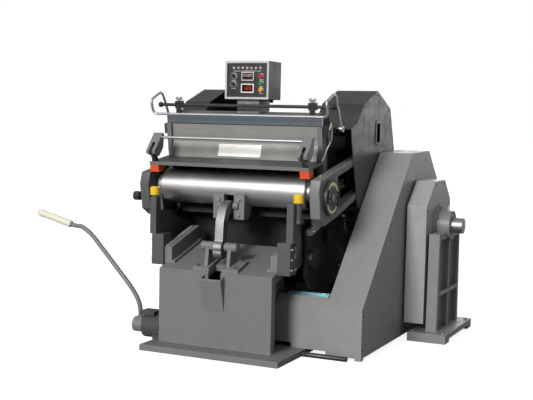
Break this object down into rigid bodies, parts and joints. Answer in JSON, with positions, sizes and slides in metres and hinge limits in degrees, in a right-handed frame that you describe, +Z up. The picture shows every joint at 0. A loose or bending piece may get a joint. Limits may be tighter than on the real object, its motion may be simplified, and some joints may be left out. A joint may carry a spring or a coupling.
{
  "type": "platen die cutting machine",
  "caption": "Large platen die cutting and creasing press with rocking platen, leaned bed, crank rods, belt-driven flywheel, guards, control box and clutch lever.",
  "frame": {"origin": "on the floor, in the foot plate's underside, midway between the side frames", "axes": "+X to the operator's right, along the platen shaft; +Y away from the operator; +Z up"},
  "size_m": [2.4773, 1.874, 1.741],
  "materials": {
    "grey": "satin grey machine paint",
    "dark_grey": "dark greenish-grey machine paint",
    "pale_grey": "light grey enamel",
    "ground_steel": "ground bare steel",
    "cast_steel": "machined cast iron",
    "polished": "hard chrome, polished",
    "blued": "bluish ground steel",
    "board": "die board with steel rules",
    "yellow": "yellow polyurethane",
    "red_pad": "red-orange rubber",
    "black": "black",
    "black_metal": "black oxide",
    "motor_blue": "light blue enamel",
    "belt": "black rubber",
    "cream": "cream plastic",
    "red": "red plastic",
    "green": "green plastic",
    "amber": "yellow plastic"
  },
  "bodies": {
    "base": {"base_casting": "grey", "scrap_scoop": "grey", "guide_rails": "grey", "side_frames": "dark_grey", "slideways": "ground_steel", "bed_casting": "grey", "chase": "ground_steel", "die_board": "board", "buffer_posts": "grey", "buffer_caps": "yellow", "leg_pedestals": "grey", "control_post": "grey", "control_box": "pale_grey", "control_panel": "black", "panel_instruments": "pale_grey", "gear_cover_left": "grey", "gear_cover_right": "grey", "belt_guard": "grey", "flywheel_cover": "grey", "outboard_pedestal": "grey", "bearing_housing": "grey", "motor": "motor_blue", "drive_belts": "belt", "lever_bracket": "dark_grey", "frame_bolts": "ground_steel"},
    "carriage": {"platen_shaft": "polished", "slide_saddles": "cast_steel", "connecting_rod_left": "grey", "connecting_rod_right": "grey"},
    "dial": {"impression_dial": "black_metal"},
    "adjusting_knob": {"impression_knob": "black"},
    "platen": {"platen_casting": "grey", "rocker_drum": "polished", "counter_plate": "ground_steel", "top_strip": "blued", "back_panel": "pale_grey", "delivery_shelf": "ground_steel", "rest_pads": "red_pad", "leg_bracket": "grey", "gauge_rod": "black_metal", "platen_brackets": "black_metal", "safety_cable": "cream"},
    "wing_left": {"wing_screw_left": "polished"},
    "wing_right": {"wing_screw_right": "polished"},
    "bail": {"hand_bail": "polished"},
    "bar": {"front_bar": "polished", "bar_arms": "grey"},
    "leg": {"swing_leg": "cast_steel"},
    "crank": {"main_shaft": "ground_steel", "bull_gear": "cast_steel"},
    "pinion": {"pinion_shaft": "ground_steel"},
    "wheel": {"flywheel": "cast_steel"},
    "rotor": {"motor_pulley": "cast_steel"},
    "lever": {"clutch_lever": "grey", "lever_grip": "cream"},
    "stop": {"stop_button": "red"},
    "start": {"start_button": "green"},
    "inch": {"inch_button": "amber"},
    "selector_a": {"selector_upper": "black"},
    "selector_b": {"selector_lower": "black"}
  },
  "joints": [
    {"name": "platen_rock", "type": "hinge", "parent": "carriage", "child": "platen", "pos_m": [0, -0.325, 0.965], "axis": [1, 0, 0], "range_deg": [0, 27]},
    {"name": "shaft_travel", "type": "slide", "parent": "base", "child": "carriage", "axis": [0, -0.9563, -0.2924], "range_m": [0, 0.03]},
    {"name": "leg_swing", "type": "hinge", "parent": "base", "child": "leg", "pos_m": [0, -0.545, 0.632], "axis": [1, 0, 0], "range_deg": [-11.7, 0]},
    {"name": "crank_turn", "type": "hinge", "parent": "base", "child": "crank", "pos_m": [0, 0.46796, 1.11138], "axis": [1, 0, 0], "range_deg": [0, 180]},
    {"name": "pinion_turn", "type": "hinge", "parent": "base", "child": "pinion", "pos_m": [0, 0.675, 0.722], "axis": [1, 0, 0], "range_deg": [-576, 0]},
    {"name": "flywheel_spin", "type": "hinge", "parent": "base", "child": "wheel", "pos_m": [0.71, 0.675, 0.722], "axis": [1, 0, 0], "continuous": true},
    {"name": "motor_spin", "type": "hinge", "parent": "base", "child": "rotor", "pos_m": [0.71, -0.2, 0.245], "axis": [1, 0, 0], "continuous": true},
    {"name": "bail_lift", "type": "hinge", "parent": "platen", "child": "bail", "pos_m": [0, -0.12929, 1.34024], "axis": [1, 0, 0], "range_deg": [-12, 0]},
    {"name": "front_bar_tilt", "type": "hinge", "parent": "platen", "child": "bar", "pos_m": [0, -0.50041, 1.19033], "axis": [1, 0, 0], "range_deg": [-8, 8]},
    {"name": "clutch_swing", "type": "hinge", "parent": "base", "child": "lever", "pos_m": [-0.5, -0.545, 0.112], "axis": [1, 0, 0], "range_deg": [-8, 8]},
    {"name": "wing_left_turn", "type": "hinge", "parent": "platen", "child": "wing_left", "pos_m": [-0.454, -0.26176, 1.46707], "axis": [0, -0.1564, 0.9877], "range_deg": [-180, 180]},
    {"name": "wing_right_turn", "type": "hinge", "parent": "platen", "child": "wing_right", "pos_m": [0.454, -0.26176, 1.46707], "axis": [0, -0.1564, 0.9877], "range_deg": [-180, 180]},
    {"name": "dial_turn", "type": "hinge", "parent": "carriage", "child": "dial", "pos_m": [0.6, -0.325, 0.939], "axis": [1, 0, 0], "range_deg": [-40, 40]},
    {"name": "knob_turn", "type": "hinge", "parent": "carriage", "child": "adjusting_knob", "pos_m": [-0.6, -0.325, 0.885], "axis": [1, 0, 0], "continuous": true},
    {"name": "stop_press", "type": "slide", "parent": "base", "child": "stop", "axis": [0, 1, 0], "range_m": [0, 0.004], "stiffness_N_per_m": 900},
    {"name": "start_press", "type": "slide", "parent": "base", "child": "start", "axis": [0, 1, 0], "range_m": [0, 0.004], "stiffness_N_per_m": 900},
    {"name": "inch_press", "type": "slide", "parent": "base", "child": "inch", "axis": [0, 1, 0], "range_m": [0, 0.004], "stiffness_N_per_m": 900},
    {"name": "selector_a_turn", "type": "hinge", "parent": "base", "child": "selector_a", "pos_m": [-0.092, -0.229, 1.65], "axis": [0, 1, 0], "range_deg": [-45, 45]},
    {"name": "selector_b_turn", "type": "hinge", "parent": "base", "child": "selector_b", "pos_m": [-0.092, -0.229, 1.6], "axis": [0, 1, 0], "range_deg": [-45, 45]}
  ],
  "couplings": [
    {"joint": "shaft_travel", "follows": "platen_rock", "m_per_rad": 0.06366},
    {"joint": "leg_swing", "follows": "platen_rock", "ratio": -0.4303},
    {"joint": "crank_turn", "follows": "platen_rock", "ratio": 6.66},
    {"joint": "pinion_turn", "follows": "platen_rock", "ratio": -21.312},
    {"joint": "motor_spin", "follows": "flywheel_spin", "ratio": 5.2953}
  ]
}
